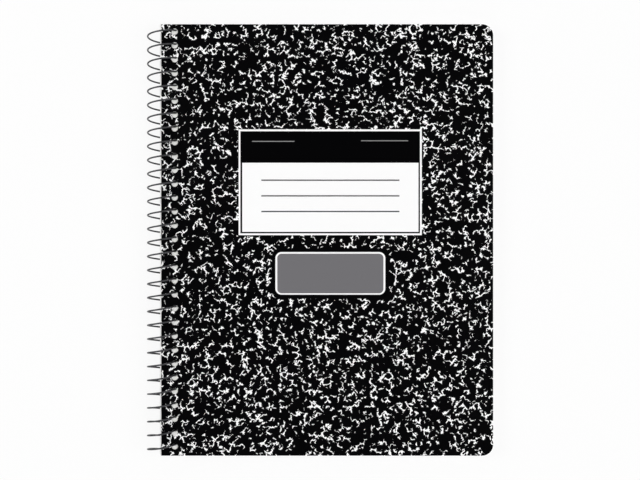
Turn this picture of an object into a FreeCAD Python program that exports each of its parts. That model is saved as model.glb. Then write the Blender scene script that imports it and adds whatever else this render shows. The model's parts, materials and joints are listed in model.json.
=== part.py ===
import FreeCAD, Part
import math
import os

from FreeCAD import Rotation, Vector

# A wire-bound composition notebook: two board covers and a block of sheets, punched along the left edge
# and held by one spiral wire. Lengths are in millimetres and angles in degrees.
#
# The pieces are drawn flat, with the spiral's axis as the Y axis: X runs across the cover to the fore-edge,
# Y up the book and Z through its thickness. The last step lays the book down as it rests on a table, on the
# bottom of its spiral and the fore-edge of its back cover, with the origin in the middle of its foot.

# Covers and sheets
cover_width = 190.5
cover_height = 247.65
cover_thickness = 0.5
corner_radius = 6.35
sheet_count = 70
sheet_thickness = 0.1
sheet_spine_overhang = 0.75
cover_to_sheet_gap = 0.1

# The row of holes, the same in every sheet and cover
hole_pitch = 7.9375
hole_diameter = 3.55
hole_inset = 7.69
first_hole_drop = 4.2
hole_count = 1 + math.floor((cover_height - 2 * first_hole_drop) / hole_pitch)

# The spiral wire. Its ends are turns from the middle of the first hole and of the last one.
wire_diameter = 0.95
coil_radius = 8.3
wire_top_end_turn = -75.0
wire_foot_end_turn = 272.0
hook_bend_radius = 1.0
hook_tail_length = 1.2

# A wire this fine is drawn as short straight runs with a flat-sided section, its corners on the wire's surface.
# Each hole has flat sides too, which touch the real round one.
runs_per_turn = 14
wire_sides = 6
hook_runs = 3
hole_sides = 16

# Where the wire stands in the holes of the closed book: how far its middle is past the hole's centre at the middle
# of the stack, away from the spine, and how far up the page it is in each piece. This play is what lets the front
# cover turn round a wire that climbs.
wire_past_hole = 0.51
wire_in_front_cover = 0.99
wire_in_sheets = -1.06
wire_in_back_cover = -1.16

# The top sheet's top edge stands this far past the front cover's. The stack under it leans with the wire.
sheets_rise = 0.3

block_thickness = sheet_count * sheet_thickness
block_top = block_thickness / 2
cover_inner_face = block_top + cover_to_sheet_gap
stack_half = cover_inner_face + cover_thickness
hole_x = coil_radius - wire_past_hole
cover_spine_edge = hole_x - hole_inset


def turn_at_height(height):
    """How far round from the X axis the spiral is, where it passes a height in the stack."""
    return math.degrees(math.asin(height / coil_radius))


def wire_y(turn):
    """How far up the book the wire is, at a turn counted from the middle of the first hole."""
    return wire_start - hole_pitch * turn / 360


# The front cover is centred on Y = 0. Its first hole places the wire, and the wire places the other pieces.
front_first_hole = cover_height / 2 - first_hole_drop
front_turn = turn_at_height(cover_inner_face + cover_thickness / 2)
wire_start = front_first_hole + wire_in_front_cover + hole_pitch * front_turn / 360
block_turn = turn_at_height(block_top)
sheets_lean = wire_y(-block_turn) - wire_y(block_turn)
sheets_first_hole = wire_y(block_turn) - wire_in_sheets
back_first_hole = wire_y(-front_turn) - wire_in_back_cover
back_cover_rise = sheets_rise + back_first_hole - sheets_first_hole


def round_cornered_outline(left, top, height):
    """A cover's or sheet's outline, with square corners at the spine and round ones at the fore-edge."""
    right = left + cover_width
    foot = top - cover_height
    inset = corner_radius
    bulge = corner_radius * (1 - math.sqrt(0.5))
    foot_left = Vector(left, foot, height)
    foot_start = Vector(right - inset, foot, height)
    foot_middle = Vector(right - bulge, foot + bulge, height)
    foot_end = Vector(right, foot + inset, height)
    top_start = Vector(right, top - inset, height)
    top_middle = Vector(right - bulge, top - bulge, height)
    top_end = Vector(right - inset, top, height)
    top_left = Vector(left, top, height)
    return Part.Wire([
        Part.makeLine(foot_left, foot_start),
        Part.Arc(foot_start, foot_middle, foot_end).toShape(),
        Part.makeLine(foot_end, top_start),
        Part.Arc(top_start, top_middle, top_end).toShape(),
        Part.makeLine(top_end, top_left),
        Part.makeLine(top_left, foot_left),
    ])


def hole_outline(centre):
    """A hole's flat-sided outline, in the plane of its centre."""
    radius = hole_diameter / 2 / math.cos(math.pi / hole_sides)
    corners = []
    for number in range(hole_sides):
        angle = 2 * math.pi * (number + 0.5) / hole_sides
        corners.append(centre + Vector(radius * math.cos(angle), radius * math.sin(angle), 0))
    return Part.makePolygon(corners + corners[:1])


def punched_slab(left, top, first_hole, lower_face, thickness, lean=0.0):
    """An outline with its row of holes, drawn on the lower face and carried up through the thickness. A stack
    that leans has its upper face further down the page by lean. top and first_hole are the upper face's."""
    wires = [round_cornered_outline(left, top + lean, lower_face)]
    for number in range(hole_count):
        centre = Vector(hole_x, first_hole + lean - number * hole_pitch, lower_face)
        wires.append(hole_outline(centre))
    face = Part.makeFace(wires, "Part::FaceMakerBullseye")
    return face.extrude(Vector(0, -lean, thickness))


def front_cover():
    top = cover_height / 2
    return punched_slab(cover_spine_edge, top, front_first_hole, cover_inner_face, cover_thickness)


def page_block():
    left = cover_spine_edge - sheet_spine_overhang
    top = cover_height / 2 + sheets_rise
    return punched_slab(left, top, sheets_first_hole, -block_top, block_thickness, sheets_lean)


def back_cover():
    top = cover_height / 2 + back_cover_rise
    return punched_slab(cover_spine_edge, top, back_first_hole, -stack_half, cover_thickness)


def coil_point(turn, radius):
    angle = math.radians(turn)
    return Vector(radius * math.cos(angle), wire_y(turn), radius * math.sin(angle))


def spiral_route():
    """The spiral's corners. They stand outside the wire's true curve by half of what a straight run cuts off,
    so that the runs keep to the curve on average. The two ends are on the curve itself."""
    step = 360 / runs_per_turn
    cut_off = coil_radius * (1 - math.cos(math.pi / runs_per_turn))
    radius = coil_radius + cut_off / 2
    last_turn = 360 * (hole_count - 1) + wire_foot_end_turn
    first_corner = math.ceil(wire_top_end_turn / step + 0.5)
    last_corner = math.floor(last_turn / step - 0.5)
    corners = [coil_point(corner * step, radius) for corner in range(first_corner, last_corner + 1)]
    return [coil_point(wire_top_end_turn, coil_radius)] + corners + [coil_point(last_turn, coil_radius)]


def hook_route(tip, run):
    """The foot end's hook: a bend from the wire's run towards the spiral's axis, then a short tail."""
    inwards = Vector(-tip.x, 0, -tip.z)
    inwards = (inwards - run * inwards.dot(run)).normalize()
    route = []
    for number in range(1, hook_runs + 1):
        angle = math.pi / 2 * number / hook_runs
        along = run * (hook_bend_radius * math.sin(angle))
        across = inwards * (hook_bend_radius * (1 - math.cos(angle)))
        route.append(tip + along + across)
    route.append(route[-1] + inwards * hook_tail_length)
    return route


def flat_sided_wire(route):
    """A wire along straight runs, mitred where they meet: each corner of the section slides along its run to
    the plane that halves the bend, so every face is flat."""
    runs = [(end - start).normalize() for start, end in zip(route, route[1:])]
    side = runs[0].cross(Vector(0, 1, 0)).normalize()
    up = runs[0].cross(side)
    radius = wire_diameter / 2
    section = []
    for number in range(wire_sides):
        angle = 2 * math.pi * number / wire_sides
        section.append(route[0] + side * (radius * math.cos(angle)) + up * (radius * math.sin(angle)))
    faces = [Part.Face(Part.makePolygon(section + section[:1]))]
    for number, run in enumerate(runs):
        next_run = runs[min(number + 1, len(runs) - 1)]
        mitre = (run + next_run).normalize()
        corner = route[number + 1]
        moved = [point + run * ((corner - point).dot(mitre) / run.dot(mitre)) for point in section]
        for a in range(wire_sides):
            b = (a + 1) % wire_sides
            loop = [section[a], section[b], moved[b], moved[a], section[a]]
            faces.append(Part.Face(Part.makePolygon(loop)))
        section = moved
    faces.append(Part.Face(Part.makePolygon(section + section[:1])))
    shell = Part.makeShell(faces)
    shell.sewShape()
    solid = Part.Solid(shell)
    if solid.Volume < 0:
        solid.reverse()
    return solid


def binding_wire():
    route = spiral_route()
    run = (route[-1] - route[-2]).normalize()
    return flat_sided_wire(route + hook_route(route[-1], run))


def resting_tilt():
    """The tilt at which the spiral's bottom and the back cover's fore-edge touch one table."""
    wire_reach = coil_radius + wire_diameter / 2
    fore_edge = cover_spine_edge + cover_width
    edge_distance = math.hypot(fore_edge, stack_half)
    return math.degrees(math.asin(wire_reach / edge_distance) - math.atan2(stack_half, fore_edge))


def spiral_axis():
    """Where the spiral's axis is, once the middle of the book's foot is the origin."""
    wire_reach = coil_radius + wire_diameter / 2
    fore_edge_corner = Vector(cover_spine_edge + cover_width, 0, stack_half)
    right = Rotation(Vector(0, 1, 0), resting_tilt()).multVec(fore_edge_corner).x
    return Vector((wire_reach - right) / 2, -back_cover_rise / 2, wire_reach)


def lay_down(piece):
    piece.rotate(Vector(0, 0, 0), Vector(0, 1, 0), resting_tilt())
    piece.translate(spiral_axis())
    return piece


pieces = {
    "front_cover": front_cover(),
    "page_block": page_block(),
    "back_cover": back_cover(),
    "binding_wire": binding_wire(),
}

os.makedirs("parts", exist_ok=True)
for name, piece in pieces.items():
    laid = lay_down(piece)
    laid.exportStep(f"parts/{name}.step")
    box = laid.BoundBox
    print(name, laid.ShapeType, laid.isValid(), "solids", len(laid.Solids), "faces", len(laid.Faces))
    print("  volume", round(laid.Volume, 2), "x", round(box.XMin, 3), round(box.XMax, 3))
    print("  y", round(box.YMin, 3), round(box.YMax, 3), "z", round(box.ZMin, 3), round(box.ZMax, 3))
print("tilt", round(resting_tilt(), 4), "axis x and z", round(spiral_axis().x, 4), round(spiral_axis().z, 4))
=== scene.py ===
# %% [markdown]
# A wire-bound composition notebook, dressed for its photograph. The solids and the way the cover turns come
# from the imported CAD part, which is the frame. This lesson gives each piece the finish of the real one:
# marbled print on the board covers, ruled paper with its cut edges, and smooth dark wire.
#
# Blender works in metres and a notebook is made in millimetres, so sizes are written in millimetres and one
# constant turns them to metres.

import json
import math

import bpy
import numpy as np
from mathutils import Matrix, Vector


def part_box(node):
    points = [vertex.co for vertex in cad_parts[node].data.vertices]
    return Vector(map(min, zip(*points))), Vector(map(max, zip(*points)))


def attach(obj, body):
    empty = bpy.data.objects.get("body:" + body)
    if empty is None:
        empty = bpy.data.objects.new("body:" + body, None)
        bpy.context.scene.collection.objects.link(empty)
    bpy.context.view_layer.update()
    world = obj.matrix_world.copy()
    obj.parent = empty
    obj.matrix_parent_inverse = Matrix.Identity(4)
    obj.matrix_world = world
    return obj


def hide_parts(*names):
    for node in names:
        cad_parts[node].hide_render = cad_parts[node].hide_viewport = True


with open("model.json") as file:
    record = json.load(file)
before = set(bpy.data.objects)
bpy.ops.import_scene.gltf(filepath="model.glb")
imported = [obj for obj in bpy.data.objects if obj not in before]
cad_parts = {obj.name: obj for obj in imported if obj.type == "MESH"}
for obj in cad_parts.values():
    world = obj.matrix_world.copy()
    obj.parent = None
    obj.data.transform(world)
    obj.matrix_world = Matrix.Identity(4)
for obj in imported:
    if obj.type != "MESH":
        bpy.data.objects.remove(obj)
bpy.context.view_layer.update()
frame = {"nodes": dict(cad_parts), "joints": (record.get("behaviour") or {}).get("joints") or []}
scene = bpy.context.scene
scene.view_settings.view_transform = "Standard"
MM = 0.001

# %% [markdown]
# The notebook was drawn flat and then laid down, so it leans a little: the spiral is thicker than the
# sheets and holds its side up. Print and paper are easier to place on the flat drawing. That drawing has
# the spiral's axis as its Y axis, X across the page and Z through the stack, so a lean and an axis lead
# from one to the other. Both could be copied from the CAD source as numbers. They are read off the frame
# instead, so that they always fit it: the hinge gives the axis, and the front cover's rise from its lowest
# edge to its highest gives the lean.

# %% Lean and axis
cover_width = 190.5
cover_height = 247.65
cover_thickness = 0.5

hinge = next(joint for joint in frame["joints"] if joint["name"] == "front_cover_turn")
axis_x, _, axis_z = hinge["pos_m"]
cover_low, cover_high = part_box("front_cover")
cover_rise = (cover_high[2] - cover_low[2]) / MM
corner_to_corner = math.hypot(cover_width, cover_thickness)
lean = math.asin(cover_rise / corner_to_corner) - math.atan2(cover_thickness, cover_width)
print("lean in degrees", round(math.degrees(lean), 3), "axis in mm", axis_x / MM, axis_z / MM)

# %% [markdown]
# Laying the book down turns a point by the lean about the Y axis, moves it to the spiral's axis, and goes
# from millimetres to metres. The same function serves one point, a row of them or a whole grid.

# %% From the flat drawing to the table


def laid_down(points):
    """x' = x cos(lean) + z sin(lean) and z' = z cos(lean) - x sin(lean), then the axis is added. The flat Y
    is already the scene's Y."""
    x, y, z = np.moveaxis(np.asarray(points, float), -1, 0)
    across = x * math.cos(lean) + z * math.sin(lean)
    up = z * math.cos(lean) - x * math.sin(lean)
    return np.stack([axis_x + across * MM, y * MM, axis_z + up * MM], axis=-1)


def flat_spot(x, y, z):
    """One point of the flat drawing, as a plain tuple in metres."""
    return tuple(laid_down([x, y, z]))


print("a point 100 mm across the page is at", [round(side / MM, 2) for side in flat_spot(100, 0, 0)])

# %% [markdown]
# A few places on the flat drawing are needed again and again: where the covers' spine edges are, how high
# each face of the stack is, and where each piece's top edge is. They are worked out from the boxes of the
# CAD pieces.

# %% Places in the stack
sheet_count = 70
sheet_thickness = 0.1
cover_gap = 0.1

block_half = sheet_count * sheet_thickness / 2
cover_inner = block_half + cover_gap
cover_outer = cover_inner + cover_thickness
fore_edge = ((cover_high[0] - axis_x) / MM - cover_outer * math.sin(lean)) / math.cos(lean)
spine_edge = fore_edge - cover_width
front_top = cover_high[1] / MM
back_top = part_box("back_cover")[1][1] / MM
print("spine edge at", round(spine_edge, 3), "front cover top", front_top, "back cover top", back_top)

# %% [markdown]
# A printer's colour is written as sRGB hex, and Blender mixes linear light, so one function turns the one
# into the other.

# %% Colours


def linear(hex_colour):
    """sRGB to linear: c / 12.92 below 0.04045, and ((c + 0.055) / 1.055) ** 2.4 above."""
    channels = [int(hex_colour[i : i + 2], 16) / 255 for i in (1, 3, 5)]
    return [c / 12.92 if c < 0.04045 else ((c + 0.055) / 1.055) ** 2.4 for c in channels] + [1.0]


print("the middle grey #808080 is", round(linear("#808080")[0], 3), "in linear light")

# %% [markdown]
# Every finish is a small graph of nodes. It could be made by hand in the shader editor, but a script has to
# say it in words, so one function adds a node with its settings and with what is plugged into it.
#
# A Mix node that is set to colours has its factor as input 0, its two colours as inputs 6 and 7, and its
# result as output 2. Those settings are the same each time, so they are kept under one name.

# %% Nodes
COLOUR_MIX = {"output": 2, "data_type": "RGBA"}


def node(tree, kind, inputs=(), output=0, **settings):
    """Adds a node, sets it, fills or links its inputs and returns one of its outputs. Inputs are a list in
    the node's own order, or a dict by name or number."""
    added = tree.nodes.new("ShaderNode" + kind)
    for name, value in settings.items():
        setattr(added, name, value)
    by_name = inputs if isinstance(inputs, dict) else dict(enumerate(inputs))
    for name, value in by_name.items():
        if isinstance(value, bpy.types.NodeSocket):
            tree.links.new(value, added.inputs[name])
        else:
            added.inputs[name].default_value = value
    return added.outputs[output] if added.outputs else None


def new_finish(name):
    """An empty material, and its node tree."""
    finish = bpy.data.materials.new(name)
    finish.use_nodes = True
    finish.node_tree.nodes.clear()
    return finish, finish.node_tree


print("CAD pieces to finish", sorted(frame["nodes"]))

# %% [markdown]
# Patterns are drawn in millimetres on the flat drawing, whatever piece they are on. A Mapping node of the
# Texture type undoes a move, a turn and a scale, which is just what laying the book down did. Object
# coordinates stay with a piece when it turns, so the print turns with its cover.

# %% Millimetres on the page


def page_place(tree, left, top, height):
    """The place on a sheet in millimetres: X from its spine edge, Y up from its top edge, and Z up from a
    height in the stack."""
    undone = {
        "Vector": node(tree, "TexCoord", output="Object"),
        "Location": flat_spot(left, top, height),
        "Rotation": (0, lean, 0),
        "Scale": (MM, MM, MM),
    }
    return node(tree, "Mapping", undone, vector_type="TEXTURE")


corner = flat_spot(spine_edge, front_top, cover_outer)
print("the front cover's corner is in mm at", [round(side / MM, 2) for side in corner])

# %% [markdown]
# The cover's pattern goes back to marbled paper, where one colour breaks up on another: ragged white
# strokes that fork and close into small rings, with specks between them. It could be one noise cut at a
# level, but that gives blots. Here the strokes are lines that come from two other places, given some width.
#
# Both kinds of line would look drawn with a ruler, or like a net, if they kept to their places. So the
# places are bent first, by a noise a little smaller than a stroke is long.

# %% Bent places
bend_size = 2.2


def bent_place(tree, place, seed, reach):
    """place + seed * (37, 91, 13), which takes another stretch of the noises for each seed, then
    + (noise - 0.5) * 2 * reach across and up the page. Reach is in millimetres."""
    moved = node(tree, "VectorMath", [place, (seed * 37.0, seed * 91.0, seed * 13.0)], operation="ADD")
    noise = {"Vector": moved, "Scale": 1 / bend_size, "Detail": 2.0}
    warp = node(tree, "TexNoise", noise, output="Color")
    shift = node(tree, "VectorMath", [warp, (-0.5, -0.5, -0.5)], operation="ADD")
    bend = node(tree, "VectorMath", [shift, (2 * reach, 2 * reach, 0.0)], operation="MULTIPLY")
    return node(tree, "VectorMath", [moved, bend], operation="ADD")


print("places are bent by a noise of", bend_size, "mm")

# %% [markdown]
# A slow noise says how much room a line has, which is half the width of its stroke. Where it has none the
# line breaks off, so strokes and specks are left. A slower noise still lets them crowd in one place and thin
# out in the next, and a quick one frays their sides.

# %% Room for a stroke
patch_size = 4.35
crowding_size = 16.7
crowding_share = 0.14
fray_size = 1.1
fray_share = 0.75


def stroke_room(tree, place, width, breaks, most):
    """The lesser of (patches - thinning) * width and most, plus (fray - 0.5) * fray_share * most. Thinning
    is breaks + crowding_share * (0.5 - crowding), so a higher breaks leaves less of a line."""
    patches = {"Vector": place, "Scale": 1 / patch_size, "Detail": 2.0, "Roughness": 0.6}
    patch = node(tree, "TexNoise", patches)
    crowding = node(tree, "TexNoise", {"Vector": place, "Scale": 1 / crowding_size, "Detail": 1.0})
    level = [crowding, -crowding_share, breaks + crowding_share / 2]
    thinning = node(tree, "Math", level, operation="MULTIPLY_ADD")
    spare = node(tree, "Math", [patch, thinning], operation="SUBTRACT")
    wide = node(tree, "Math", [spare, width], operation="MULTIPLY")
    room = node(tree, "Math", [wide, most], operation="MINIMUM")
    fray = node(tree, "TexNoise", {"Vector": place, "Scale": 1 / fray_size, "Detail": 1.0})
    ragged = node(tree, "Math", [fray, 0.5], operation="SUBTRACT")
    return node(tree, "Math", [ragged, most * fray_share, room], operation="MULTIPLY_ADD")


print("strokes break off every", patch_size, "mm or so and crowd every", crowding_size)

# %% [markdown]
# The first lines are the edges between warped cells. Three cells meet at a point, which gives the forks,
# and a small cell gives a ring.

# %% Forked strokes
fork_spacing = 3.5
fork_most = 0.105


def forked_strokes(tree, place):
    """Positive on a stroke: its room, less the distance to the nearest edge between two cells."""
    bent = bent_place(tree, place, seed=1.0, reach=1.9)
    cells = {"Vector": bent, "Scale": 1 / fork_spacing}
    far = node(tree, "TexVoronoi", cells, voronoi_dimensions="2D", feature="DISTANCE_TO_EDGE")
    room = stroke_room(tree, bent, width=4.0, breaks=0.538, most=fork_most)
    return node(tree, "Math", [room, far], operation="SUBTRACT")


print("a forked stroke is up to", round(2 * fork_most * fork_spacing, 2), "mm wide before it frays")

# %% [markdown]
# The second lines are where a noise crosses its middle value. They are finer, and they wander.

# %% Wandering strokes
wander_spacing = 4.8
wander_most = 0.03


def wandering_strokes(tree, place):
    """Positive on a stroke: its room, less how far the noise is from its middle value, |noise - 0.5|."""
    bent = bent_place(tree, place, seed=2.3, reach=1.6)
    noise = {"Vector": bent, "Scale": 1 / wander_spacing, "Detail": 2.0, "Roughness": 0.5}
    away = node(tree, "Math", [node(tree, "TexNoise", noise), 0.5], operation="SUBTRACT")
    far = node(tree, "Math", [away], operation="ABSOLUTE")
    room = stroke_room(tree, bent, width=0.9, breaks=0.578, most=wander_most)
    return node(tree, "Math", [room, far], operation="SUBTRACT")


print("wandering strokes lie about", wander_spacing, "mm apart")

# %% [markdown]
# Ink is solid or absent, so the two kinds of stroke are put together and cut where they pass zero, with a
# step just soft enough not to look like a staircase.

# %% Marble
cut_softness = 0.004


def marble(tree, place):
    """1 on the white strokes and specks and 0 on the black: the greater of the two kinds, cut at zero."""
    flat = node(tree, "VectorMath", [place, (1.0, 1.0, 0.0)], operation="MULTIPLY")
    strokes = [forked_strokes(tree, flat), wandering_strokes(tree, flat)]
    either = node(tree, "Math", strokes, operation="MAXIMUM")
    return node(tree, "MapRange", {"Value": either, "From Min": 0.0, "From Max": cut_softness})


print("a forked stroke's edge is", round(cut_softness * fork_spacing, 3), "mm soft")

# %% [markdown]
# The label and the name plate are printed on the cover with the marble. They could be pieces of their own,
# but ink has no thickness to model. Each is a stack of boxes with square or round corners, and the signed
# distance to a box, in millimetres, says where its ink ends.

# %% Printed boxes
ink_softness = 0.12


def ink_mask(tree, distance, soft=ink_softness):
    """1 where a distance in millimetres is below zero and 0 above it, with an edge as soft as ink's."""
    return node(tree, "MapRange", {"Value": distance, "From Min": soft / 2, "From Max": -soft / 2})


def box_distance(tree, place, left, right, top, foot, radius):
    """q = |place - centre| - half size + radius, then length(max(q, 0)) + min(max(qx, qy), 0) - radius. Top
    and foot are millimetres below the cover's top edge."""
    centre = ((left + right) / 2, -(top + foot) / 2, 0.0)
    half = ((right - left) / 2 - radius, (foot - top) / 2 - radius, 0.0)
    from_centre = node(tree, "VectorMath", [place, centre], operation="SUBTRACT")
    folded = node(tree, "VectorMath", [from_centre], operation="ABSOLUTE")
    q = node(tree, "VectorMath", [folded, half], operation="SUBTRACT")
    beyond = node(tree, "VectorMath", [q, (0.0, 0.0, 0.0)], operation="MAXIMUM")
    beyond = node(tree, "VectorMath", [beyond, (1.0, 1.0, 0.0)], operation="MULTIPLY")
    outside = node(tree, "VectorMath", [beyond], output="Value", operation="LENGTH")
    q_x, q_y, _ = node(tree, "SeparateXYZ", [q]).node.outputs
    nearer = node(tree, "Math", [q_x, q_y], operation="MAXIMUM")
    inside = node(tree, "Math", [nearer, 0.0], operation="MINIMUM")
    distance = node(tree, "Math", [outside, inside], operation="ADD")
    return node(tree, "Math", [distance, radius], operation="SUBTRACT")


print("ink edges are", ink_softness, "mm soft")

# %% [markdown]
# Each row below is one box of ink: its colour, where its left and right sides are from the cover's spine
# edge, where its top and foot are below the cover's top edge, and its corners' radius. Later rows print
# over earlier ones. The header is black with two thin rules, the field under it has three writing lines,
# and the plate is plain grey.

# %% Label and plate
white_ink = linear("#fdfdfd")
black_ink = linear("#020203")
rule_grey = linear("#8d8d8d")
line_grey = linear("#4c4c4e")
plate_grey = linear("#727174")

label_boxes = [
    (white_ink, 44.4, 149.55, 60.3, 121.05, 0.0),
    (black_ink, 45.4, 148.5, 61.4, 120.0, 0.0),
    (white_ink, 46.45, 147.65, 79.5, 119.15, 0.0),
    (rule_grey, 52.1, 76.4, 66.95, 67.45, 0.0),
    (rule_grey, 114.7, 141.7, 66.6, 67.1, 0.0),
    (line_grey, 57.4, 136.7, 89.12, 89.88, 0.0),
    (line_grey, 57.4, 136.7, 98.12, 98.88, 0.0),
    (line_grey, 57.4, 136.7, 107.07, 107.83, 0.0),
    (black_ink, 63.4, 130.8, 128.5, 157.5, 5.0),
    (white_ink, 65.5, 128.6, 130.75, 155.2, 3.5),
    (plate_grey, 66.6, 127.5, 131.7, 154.4, 2.5),
]


def labelled(tree, place, colour):
    """The label and the plate under it, over what is printed there."""
    for ink, left, right, top, foot, radius in label_boxes:
        mask = ink_mask(tree, box_distance(tree, place, left, right, top, foot, radius))
        colour = node(tree, "Mix", {0: mask, 6: colour, 7: ink}, **COLOUR_MIX)
    return colour


print("label and plate are", len(label_boxes), "boxes of ink")

# %% [markdown]
# A cover is one sheet of board: print under a light coating outside, a plain white liner inside, and a
# greyer core that shows where it was cut. All three could be faces of their own, but the CAD piece is one
# solid, so the depth below its outer face says which of the three a spot is on. Board is pressed from
# fibres, and they make its bare faces a little cloudy.

# %% Bare board
fibre_size = 0.625
liner_top = cover_thickness - 0.1
liner_full = cover_thickness - 0.06


def bare_board(tree, depth, fibres):
    """White liner near the inner face and greyer core above it, each between two tones by the fibres."""
    liner = node(tree, "Mix", {0: fibres, 6: linear("#e3e2dd"), 7: linear("#f4f3f0")}, **COLOUR_MIX)
    core = node(tree, "Mix", {0: fibres, 6: linear("#c9c7c1"), 7: linear("#dddbd6")}, **COLOUR_MIX)
    in_core = node(tree, "MapRange", {"Value": depth, "From Min": liner_full, "From Max": liner_top})
    return node(tree, "Mix", {0: in_core, 6: liner, 7: core}, **COLOUR_MIX)


print("the liner starts", round(liner_top, 2), "mm below the print")

# %% [markdown]
# Coated board has a soft sheen, and its refractive index is near 1.5. But the black reads very deep in the
# photograph, so the shine is kept low and broad on the print. The bare faces are quite matt. The print and
# its coating go a few hundredths of a millimetre deep.

# %% Board finish
coat_depth = 0.05
coat_end = 0.09


def board_finish(name, left, top, outer_face, outwards, with_label):
    """Marbled coated board. Outwards is 1.0 for the front cover and -1.0 for the back one."""
    finish, tree = new_finish(name)
    place = page_place(tree, left, top, outer_face)
    printed = node(tree, "Mix", {0: marble(tree, place), 6: black_ink, 7: white_ink}, **COLOUR_MIX)
    if with_label:
        printed = labelled(tree, place, printed)
    height = node(tree, "SeparateXYZ", [place], output="Z")
    depth = node(tree, "Math", [height, -outwards], operation="MULTIPLY")
    coated = node(tree, "MapRange", {"Value": depth, "From Min": coat_end, "From Max": coat_depth})
    grain = {"Vector": place, "Scale": 1 / fibre_size, "Detail": 4.0, "Roughness": 0.7}
    fibres = node(tree, "TexNoise", grain)
    bare = bare_board(tree, depth, fibres)
    surface = {
        "Base Color": node(tree, "Mix", {0: coated, 6: bare, 7: printed}, **COLOUR_MIX),
        "Roughness": node(tree, "MapRange", {"Value": coated, "To Min": 0.8, "To Max": 0.3}),
        "Normal": node(tree, "Bump", {"Height": fibres, "Strength": 0.05, "Distance": 0.1 * MM}),
        "Specular IOR Level": 0.08,
    }
    node(tree, "OutputMaterial", {"Surface": node(tree, "BsdfPrincipled", surface)})
    return finish


front_finish = board_finish("marbled_coated_board_front", spine_edge, front_top, cover_outer, 1.0, True)
back_finish = board_finish("marbled_coated_board_back", spine_edge, back_top, -cover_outer, -1.0, False)
print("the front cover's finish has", len(front_finish.node_tree.nodes), "nodes")

# %% [markdown]
# The covers come from the CAD part with a plain material. It is taken off, and each gets its own finish, as
# the print starts from that cover's own top edge and outer face.

# %% Dress the covers


def dress(name, finish):
    """Gives a CAD piece one finish."""
    piece = frame["nodes"][name]
    piece.data.materials.clear()
    piece.data.materials.append(finish)


dress("front_cover", front_finish)
dress("back_cover", back_finish)
print("front cover wears", frame["nodes"]["front_cover"].data.materials[0].name)

# %% [markdown]
# The sheets lie one on another but not quite square: each is a little further down the page than the one
# below it, as the wire has pulled them. The block's box and the height of a sheet give that lean of the
# stack.

# %% Places on the sheets
sheet_overhang = 0.75
block_low, block_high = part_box("page_block")
sheet_left = spine_edge - sheet_overhang
block_top = block_high[1] / MM
stack_lean = block_top - block_low[1] / MM - cover_height
page_top = block_top - stack_lean
print("the stack leans", round(stack_lean, 3), "mm and the top sheet's top edge is at", round(page_top, 3))

# %% [markdown]
# The pages are quad ruled, a fine pale blue grid of five squares to the inch. The distance to the nearest
# line is a triangle wave of the place on the page, and a thin band round its zeros is the ink. The ruling
# starts past the punched holes.

# %% Ruled lines
quad = 5.08
line_half_width = 0.14
line_softness = 0.1
binding_margin = 11.4
head_margin = 2.54
first_line_reach = 0.2


def ruled_lines(tree, across, up):
    """1 on a line: the triangle wave of each place, less half a line's width, is below zero there."""
    lines = []
    for way in (across, up):
        wave = node(tree, "Math", [way, quad / 2], operation="PINGPONG")
        distance = node(tree, "Math", [wave, line_half_width], operation="SUBTRACT")
        lines.append(ink_mask(tree, distance, line_softness))
    either = node(tree, "Math", lines, operation="MAXIMUM")
    past_holes = node(tree, "Math", [across, -first_line_reach], operation="GREATER_THAN")
    return node(tree, "Math", [either, past_holes], operation="MULTIPLY")


print("the ruling has", int((cover_width - binding_margin) / quad) + 1, "lines down the page")

# %% [markdown]
# The sheets are uncoated white writing paper, matt and a touch warm, with slight clouds in it. Where they
# are cut they show as a stack of thin layers with shade between them. A sheet is 0.1 mm thick, too thin to
# show one by one, so that shade is painted into the cut edge's colour: it darkens in layers of about 0.36 mm
# that run 33 mm along the edge. The same noise also bumps the edge.

# %% Page faces and cut edges
cloud_size = 1.25
layer_length = 33
layer_height = 0.36


def page_face(tree, place, across, up):
    """Paper between two near whites, with the ruling over it."""
    clouds = {"Vector": place, "Scale": 1 / cloud_size, "Detail": 5.0, "Roughness": 0.65}
    tone = node(tree, "TexNoise", clouds)
    paper_white = node(tree, "Mix", {0: tone, 6: linear("#f5f5f3"), 7: linear("#fafaf9")}, **COLOUR_MIX)
    ink = node(tree, "Math", [ruled_lines(tree, across, up), 0.75], operation="MULTIPLY")
    return node(tree, "Mix", {0: ink, 6: paper_white, 7: linear("#7f9db5")}, **COLOUR_MIX)


def layer_shade_and_bump_noise(tree, place):
    """Noise of the place, stretched along the edge and pressed together through the stack. It is both
    the cut edge's painted shade between sheets and its bump.
    """
    stretch = (1 / layer_length, 1 / layer_length, 1 / layer_height)
    layers = node(tree, "Mapping", {"Vector": place, "Scale": stretch})
    return node(tree, "TexNoise", {"Vector": layers, "Scale": 1.0, "Detail": 3.0, "Roughness": 0.8})


print("a shaded layer stands for", round(layer_height / sheet_thickness, 1), "sheets")

# %% [markdown]
# One finish serves the whole block: it looks at how far a spot is from the middle of the stack, and is a
# page's face at the very top and bottom and a cut edge anywhere else.

# %% Paper finish
face_depth = 0.02


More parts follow.
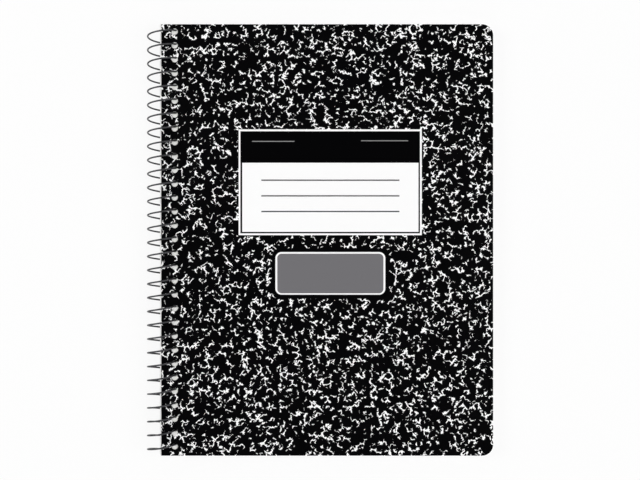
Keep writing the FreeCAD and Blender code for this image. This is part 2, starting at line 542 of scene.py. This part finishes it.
def paper_finish():
    """Quad-ruled paper, with its cut edges."""
    finish, tree = new_finish("uncoated_quad_ruled_paper")
    place = page_place(tree, sheet_left + binding_margin, page_top - head_margin, block_half)
    across, up, height = node(tree, "SeparateXYZ", [place]).node.outputs
    above_middle = node(tree, "Math", [height, block_half], operation="ADD")
    from_middle = node(tree, "Math", [above_middle], operation="ABSOLUTE")
    on_face = node(tree, "Math", [from_middle, block_half - face_depth], operation="GREATER_THAN")
    face = page_face(tree, place, across, up)
    layers = layer_shade_and_bump_noise(tree, place)
    # The cut edge's colour is painted shade between the sheets, darker in layers by the noise.
    edge = node(tree, "Mix", {0: layers, 6: linear("#dad9d5"), 7: linear("#f9f9f7")}, **COLOUR_MIX)
    surface = {
        "Base Color": node(tree, "Mix", {0: on_face, 6: edge, 7: face}, **COLOUR_MIX),
        "Normal": node(tree, "Bump", {"Height": layers, "Strength": 0.3, "Distance": 0.2 * MM}),
        "Roughness": 0.85,
        "Specular IOR Level": 0.3,
    }
    node(tree, "OutputMaterial", {"Surface": node(tree, "BsdfPrincipled", surface)})
    return finish


paper = paper_finish()
dress("page_block", paper)
print("paper finish has", len(paper.node_tree.nodes), "nodes")

# %% [markdown]
# Up close a stack of sheets is never quite square: each lies a few hundredths of a millimetre in or out
# from its neighbours, with a fine groove between. A bump map would leave the edge flat in the mesh, so the
# edges are a band of their own that goes round the block. It starts with the outline of one sheet, and the
# way out at each of its points.

# %% Sheet outline
corner_radius = 6.35
corner_points = 26


def sheet_outline():
    """The fore-edge corners are quarter circles, c + r (cos a, sin a), and their way out is (cos a, sin a).
    The spine's corners are square, and their way out is a mitre."""
    a = np.linspace(-math.pi / 2, math.pi / 2, corner_points)
    way_out = np.stack([np.cos(a), np.sin(a)], axis=1)
    right = sheet_left + cover_width - corner_radius
    rows = np.where(a < 0, corner_radius - cover_height, -corner_radius)
    arcs = np.stack([np.full(len(a), right), rows], axis=1) + corner_radius * way_out
    points = np.vstack([[sheet_left, -cover_height], arcs, [sheet_left, 0.0]])
    return points, np.vstack([[-1.0, -1.0], way_out, [-1.0, 1.0]])


print("a sheet's outline has", len(sheet_outline()[0]), "points")

# %% [markdown]
# The band is a grid: one way round the outline and the other way up the stack. Each sheet has three rows,
# at the shares of its thickness given below: one near each of its faces and one in the groove over it. Two
# last rows inside the block close the band. Each sheet's slip is drawn at random from one seed, so it is
# the same on every run.

# %% Sheet edge grid
rows_of_sheet = np.array([0.1, 0.9, 1.0])
sheet_slip = 0.05
edge_proud = 0.07
groove_proud = 0.01
inside_block = -0.5
inside_height = block_half - 0.05


def edge_band(seed):
    """outline(u) + way out(u) * proud(v) + slip(v), at height(v). A sheet's foot and top move down the page
    by stack_lean from the lowest sheet to the highest."""
    slips = np.random.default_rng(seed).uniform(-sheet_slip, sheet_slip, (sheet_count, 2))
    heights = np.arange(sheet_count)[:, None] * sheet_thickness + rows_of_sheet * sheet_thickness
    heights = np.concatenate([heights.ravel() - block_half, [inside_height, -inside_height]])
    proud = np.tile([edge_proud, edge_proud, groove_proud], sheet_count)
    proud = np.concatenate([proud, [inside_block, inside_block]])
    slip = np.stack([slips, slips, slips * 0], axis=1).reshape(-1, 2)
    slip = np.concatenate([slip, np.zeros((2, 2))])
    points, way_out = sheet_outline()
    across = points + way_out * proud[:, None, None] + slip[:, None, :]
    up_page = across[..., 1] + block_top - stack_lean * (heights[:, None] + block_half) / (2 * block_half)
    return np.stack([across[..., 0], up_page, np.broadcast_to(heights[:, None], up_page.shape)], axis=-1)


edge_grid = edge_band(seed=7)
print("the band's grid is", edge_grid.shape[0], "rows of", edge_grid.shape[1], "points")

# %% [markdown]
# The grid closes both ways, round the sheet and through the block, so each point has a next one in both and
# the mesh has no open side.

# %% Sheet edges


def closed_ring(name, grid):
    """A mesh with a quad between each point, the next one round, the next one up and the one past both."""
    index = np.arange(grid.shape[0] * grid.shape[1]).reshape(grid.shape[:2])
    round_it = np.roll(index, -1, axis=1)
    quads = np.stack([index, round_it, np.roll(round_it, -1, axis=0), np.roll(index, -1, axis=0)], axis=-1)
    mesh = bpy.data.meshes.new(name)
    mesh.from_pydata(laid_down(grid).reshape(-1, 3).tolist(), [], quads.reshape(-1, 4).tolist())
    mesh.update()
    return mesh


edges = bpy.data.objects.new("sheet_edges", closed_ring("sheet_edges", edge_grid))
edges.data.materials.append(paper)
scene.collection.objects.link(edges)
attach(edges, "sheets")
print("sheet edges", len(edges.data.polygons), "faces")

# %% [markdown]
# The spiral is one drawn steel wire. In the CAD it is straight runs with a six-sided section, which is
# enough to collide with but not to look at. Here it is the true curve. Where it starts follows from the
# front cover's first hole, which it passes a little above the middle of.

# %% Path of the spiral
hole_pitch = 7.9375
hole_count = 31
coil_radius = 8.3
first_hole_drop = 4.2
wire_in_front_cover = 0.99
top_end_turn = -75.0
foot_end_turn = 360 * (hole_count - 1) + 272.0
degrees_per_section = 7.5

front_turn = math.degrees(math.asin((cover_inner + cover_thickness / 2) / coil_radius))
wire_start = front_top - first_hole_drop + wire_in_front_cover + hole_pitch * front_turn / 360


def helix(turns):
    """A point at each turn in degrees: (R cos t, start - pitch t / 360, R sin t)."""
    t = np.radians(turns)
    up_page = wire_start - hole_pitch * turns / 360
    return np.stack([coil_radius * np.cos(t), up_page, coil_radius * np.sin(t)], axis=1)


sections = int((foot_end_turn - top_end_turn) / degrees_per_section)
spiral_path = helix(np.linspace(top_end_turn, foot_end_turn, sections))
print("the spiral has", round((foot_end_turn - top_end_turn) / 360, 2), "turns and", sections, "sections")

# %% [markdown]
# The wire's foot end is bent in as a hook, so that it can't wind out of the holes or catch a sleeve. It
# carries on from the helix in the direction the wire has there.

# %% Hook
hook_radius = 1.0
hook_tail = 1.2
hook_sections = 8


def unit(vectors):
    """Each vector over its own length."""
    return vectors / np.linalg.norm(vectors, axis=-1, keepdims=True)


def hook(tip, run):
    """tip + run r sin a + inwards r (1 - cos a) for a quarter circle, and then a straight tail inwards."""
    inwards = np.array([-tip[0], 0.0, -tip[2]])
    inwards = unit(inwards - run * inwards.dot(run))
    a = np.linspace(0, math.pi / 2, hook_sections + 1)[1:, None]
    bend = tip + run * (hook_radius * np.sin(a)) + inwards * (hook_radius * (1 - np.cos(a)))
    return np.vstack([bend, bend[-1] + inwards * hook_tail])


last_run = unit(spiral_path[-1] - spiral_path[-2])
wire_path = np.vstack([spiral_path, hook(spiral_path[-1], last_run)])
wire_length = np.linalg.norm(np.diff(wire_path, axis=0), axis=1).sum()
print("the wire is", round(wire_length), "mm long")

# %% [markdown]
# The wire itself is a circle carried along that path. A curve object with a round bevel would do it too,
# but a grid of points says just where each section stands, and keeps its sides from twisting.

# %% Round wire
wire_diameter = 0.95
wire_sides = 12


def round_tube(path, radius, sides):
    """path(i) + radius (cos a side(i) + sin a up(i)). Side is at right angles to the path and to the book's
    Y axis, and up is at right angles to both the path and side."""
    run = unit(np.gradient(path, axis=0))
    side = unit(np.cross(run, [0.0, 1.0, 0.0]))
    up = np.cross(run, side)
    a = np.linspace(0, 2 * math.pi, sides, endpoint=False)[None, :, None]
    return path[:, None] + radius * (np.cos(a) * side[:, None] + np.sin(a) * up[:, None])


wire_grid = round_tube(wire_path, wire_diameter / 2, wire_sides)
print("the wire's grid is", wire_grid.shape[0], "sections of", wire_grid.shape[1], "points")

# %% [markdown]
# Quads join each section to the next, wound so that they face outwards, and one flat face closes each end.
# The piece stands for the CAD's wire, so that one isn't shown.

# %% Spiral wire


def closed_tube(name, grid):
    """A mesh with a quad between each point, the next one round, and the same two in the next section."""
    rows, sides = grid.shape[:2]
    index = np.arange(rows * sides).reshape(rows, sides)
    following = np.roll(index, -1, axis=1)
    quads = np.stack([index[:-1], following[:-1], following[1:], index[1:]], axis=-1).reshape(-1, 4)
    ends = [index[0][::-1].tolist(), index[-1].tolist()]
    mesh = bpy.data.meshes.new(name)
    mesh.from_pydata(laid_down(grid).reshape(-1, 3).tolist(), [], quads.tolist() + ends)
    mesh.polygons.foreach_set("use_smooth", [True] * len(quads) + [False] * 2)
    mesh.update()
    return mesh


wire = bpy.data.objects.new("spiral_wire", closed_tube("spiral_wire", wire_grid))
scene.collection.objects.link(wire)
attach(wire, "spiral")
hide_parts("binding_wire")
print("spiral wire", len(wire.data.polygons), "faces")

# %% [markdown]
# The wire is steel, drawn through a die and plated dark. It is a metal, so its colour tints what it
# mirrors. It shines where the die pressed it, and is duller in spots where the plating is thicker, which
# breaks up the bright line along it.

# %% Wire finish
spot_size = 1.7


def wire_finish():
    """Dark plated steel, between two greys and two roughnesses by a noise of spots."""
    finish, tree = new_finish("dark_plated_steel_wire")
    place = node(tree, "TexCoord", output="Object")
    spots = node(tree, "TexNoise", {"Vector": place, "Scale": 1 / (spot_size * MM), "Detail": 3.0})
    greys = {0: spots, 6: linear("#3d3d3f"), 7: linear("#58585b")}
    surface = {
        "Base Color": node(tree, "Mix", greys, **COLOUR_MIX),
        "Roughness": node(tree, "MapRange", {"Value": spots, "To Min": 0.3, "To Max": 0.48}),
        "Metallic": 1.0,
    }
    node(tree, "OutputMaterial", {"Surface": node(tree, "BsdfPrincipled", surface)})
    return finish


wire.data.materials.append(wire_finish())
print("the wire's spots are about", spot_size, "mm long")

# %% [markdown]
# The notebook lies on a white studio table, one large flat square at the height of the book's foot. It is
# only there for the pictures and isn't part of the notebook.

# %% Table
table_reach = 4.0

signs = [(-1, -1), (1, -1), (1, 1), (-1, 1)]
corners = [(x * table_reach, y * table_reach, 0) for x, y in signs]
table_mesh = bpy.data.meshes.new("table_top")
table_mesh.from_pydata(corners, [], [(0, 1, 2, 3)])
table = bpy.data.objects.new("table_top", table_mesh)
scene.collection.objects.link(table)
print("table is", 2 * table_reach, "m square")

# %% [markdown]
# More light would turn the table pure white, but it would wash out the book as well. So the table is matt
# near white to the lamps, and it shines white to the camera and in what the wire mirrors. A share of its
# real shading is kept for the shadow near the book. That share ends within a metre, so the table meets the
# white room without a line.

# %% Table finish
shadow_near = 0.2
shadow_end = 0.9
white_near = 0.87

table_finish, tree = new_finish("white_studio_table")
rays = node(tree, "LightPath").node.outputs
seen = node(tree, "Math", [rays["Is Camera Ray"], rays["Is Glossy Ray"]], operation="MAXIMUM")
seen = node(tree, "Math", [seen, rays["Is Transmission Ray"]], operation="MAXIMUM")
place = node(tree, "TexCoord", output="Object")
from_book = node(tree, "VectorMath", [place], output="Value", operation="LENGTH")
near_to_far = {"From Min": shadow_near, "From Max": shadow_end, "To Min": white_near, "To Max": 1.0}
share = node(tree, "MapRange", {"Value": from_book, **near_to_far})
white_share = node(tree, "Math", [seen, share], operation="MULTIPLY")
matt = node(tree, "BsdfDiffuse", {"Color": linear("#f4f4f4")})
glow = node(tree, "Emission", {"Color": (1.0, 1.0, 1.0, 1.0), "Strength": 1.0})
node(tree, "OutputMaterial", {"Surface": node(tree, "MixShader", [white_share, matt, glow])})
table_mesh.materials.append(table_finish)
print("near the book the table keeps", round(1 - white_near, 2), "of its shading")

# %% [markdown]
# The room is white to the camera too. As a light it is brighter near the horizon than overhead, so that it
# reaches the book's sides without washing out the black of the cover, which mirrors what is above it.

# %% Room
world = bpy.data.worlds.new("pale_room")
world.use_nodes = True
sky = world.node_tree
seen = node(sky, "LightPath", output="Is Camera Ray")
height = node(sky, "SeparateXYZ", [node(sky, "TexCoord", output="Generated")], output="Z")
low_to_high = {"From Min": 0.2, "From Max": 0.95, "To Min": 0.55, "To Max": 0.08}
room_light = node(sky, "MapRange", {"Value": height, **low_to_high})
strength = node(sky, "Mix", {0: seen, 2: room_light, 3: 1.0}, data_type="FLOAT")
sky.links.new(strength, sky.nodes["Background"].inputs["Strength"])
sky.nodes["Background"].inputs["Color"].default_value = linear("#ffffff")
scene.world = world
print("room light goes from", low_to_high["To Min"], "at the horizon to", low_to_high["To Max"], "overhead")

# %% [markdown]
# The book is lit evenly from both sides, as a flat copy is, so that the coated black print doesn't mirror a
# lamp into the camera. Two weaker lamps light its top and foot edges for the side views.

# %% Soft boxes
soft_box_side = 0.9


def soft_box(name, spot, watts):
    """A square area lamp that faces the middle of the notebook."""
    light = bpy.data.lights.new(name, "AREA")
    light.shape = "SQUARE"
    light.size = soft_box_side
    light.energy = watts
    lamp = bpy.data.objects.new(name, light)
    scene.collection.objects.link(lamp)
    lamp.location = spot
    lamp.rotation_euler = (-lamp.location).to_track_quat("-Z", "Y").to_euler()
    return lamp


lamps = [
    soft_box("left_soft_box", (-1.3, 0.25, 1.2), 14.9),
    soft_box("right_soft_box", (1.3, -0.1, 1.2), 12.9),
    soft_box("top_edge_soft_box", (0.1, 1.5, 1.1), 5.6),
    soft_box("foot_edge_soft_box", (-0.1, -1.5, 1.0), 6.2),
]
print("lamps give", round(sum(lamp.data.energy for lamp in lamps), 1), "watts in all")

# %% [markdown]
# The photograph was taken from straight above, square to the cover and about 0.56 m from it, with the
# middle of the whole book in the middle of the picture. The picture is as wide as 367.4 mm of the cover's
# plane, and the lens follows from that: sensor width times distance over picture width.

# %% Camera
shooting_distance = 560.0
picture_width = 367.4
book_middle = 91.21
sensor_width = 36.0

camera_data = bpy.data.cameras.new("camera")
camera_data.sensor_width = sensor_width
camera_data.lens = sensor_width * shooting_distance / picture_width
camera = bpy.data.objects.new("camera", camera_data)
scene.collection.objects.link(camera)
cover_middle = (cover_low[1] + cover_high[1]) / 2 / MM
camera.location = flat_spot(book_middle, cover_middle, cover_outer + shooting_distance)
camera.rotation_euler = (0.0, lean, 0.0)
scene.camera = camera
print("lens in mm", round(camera_data.lens, 2))
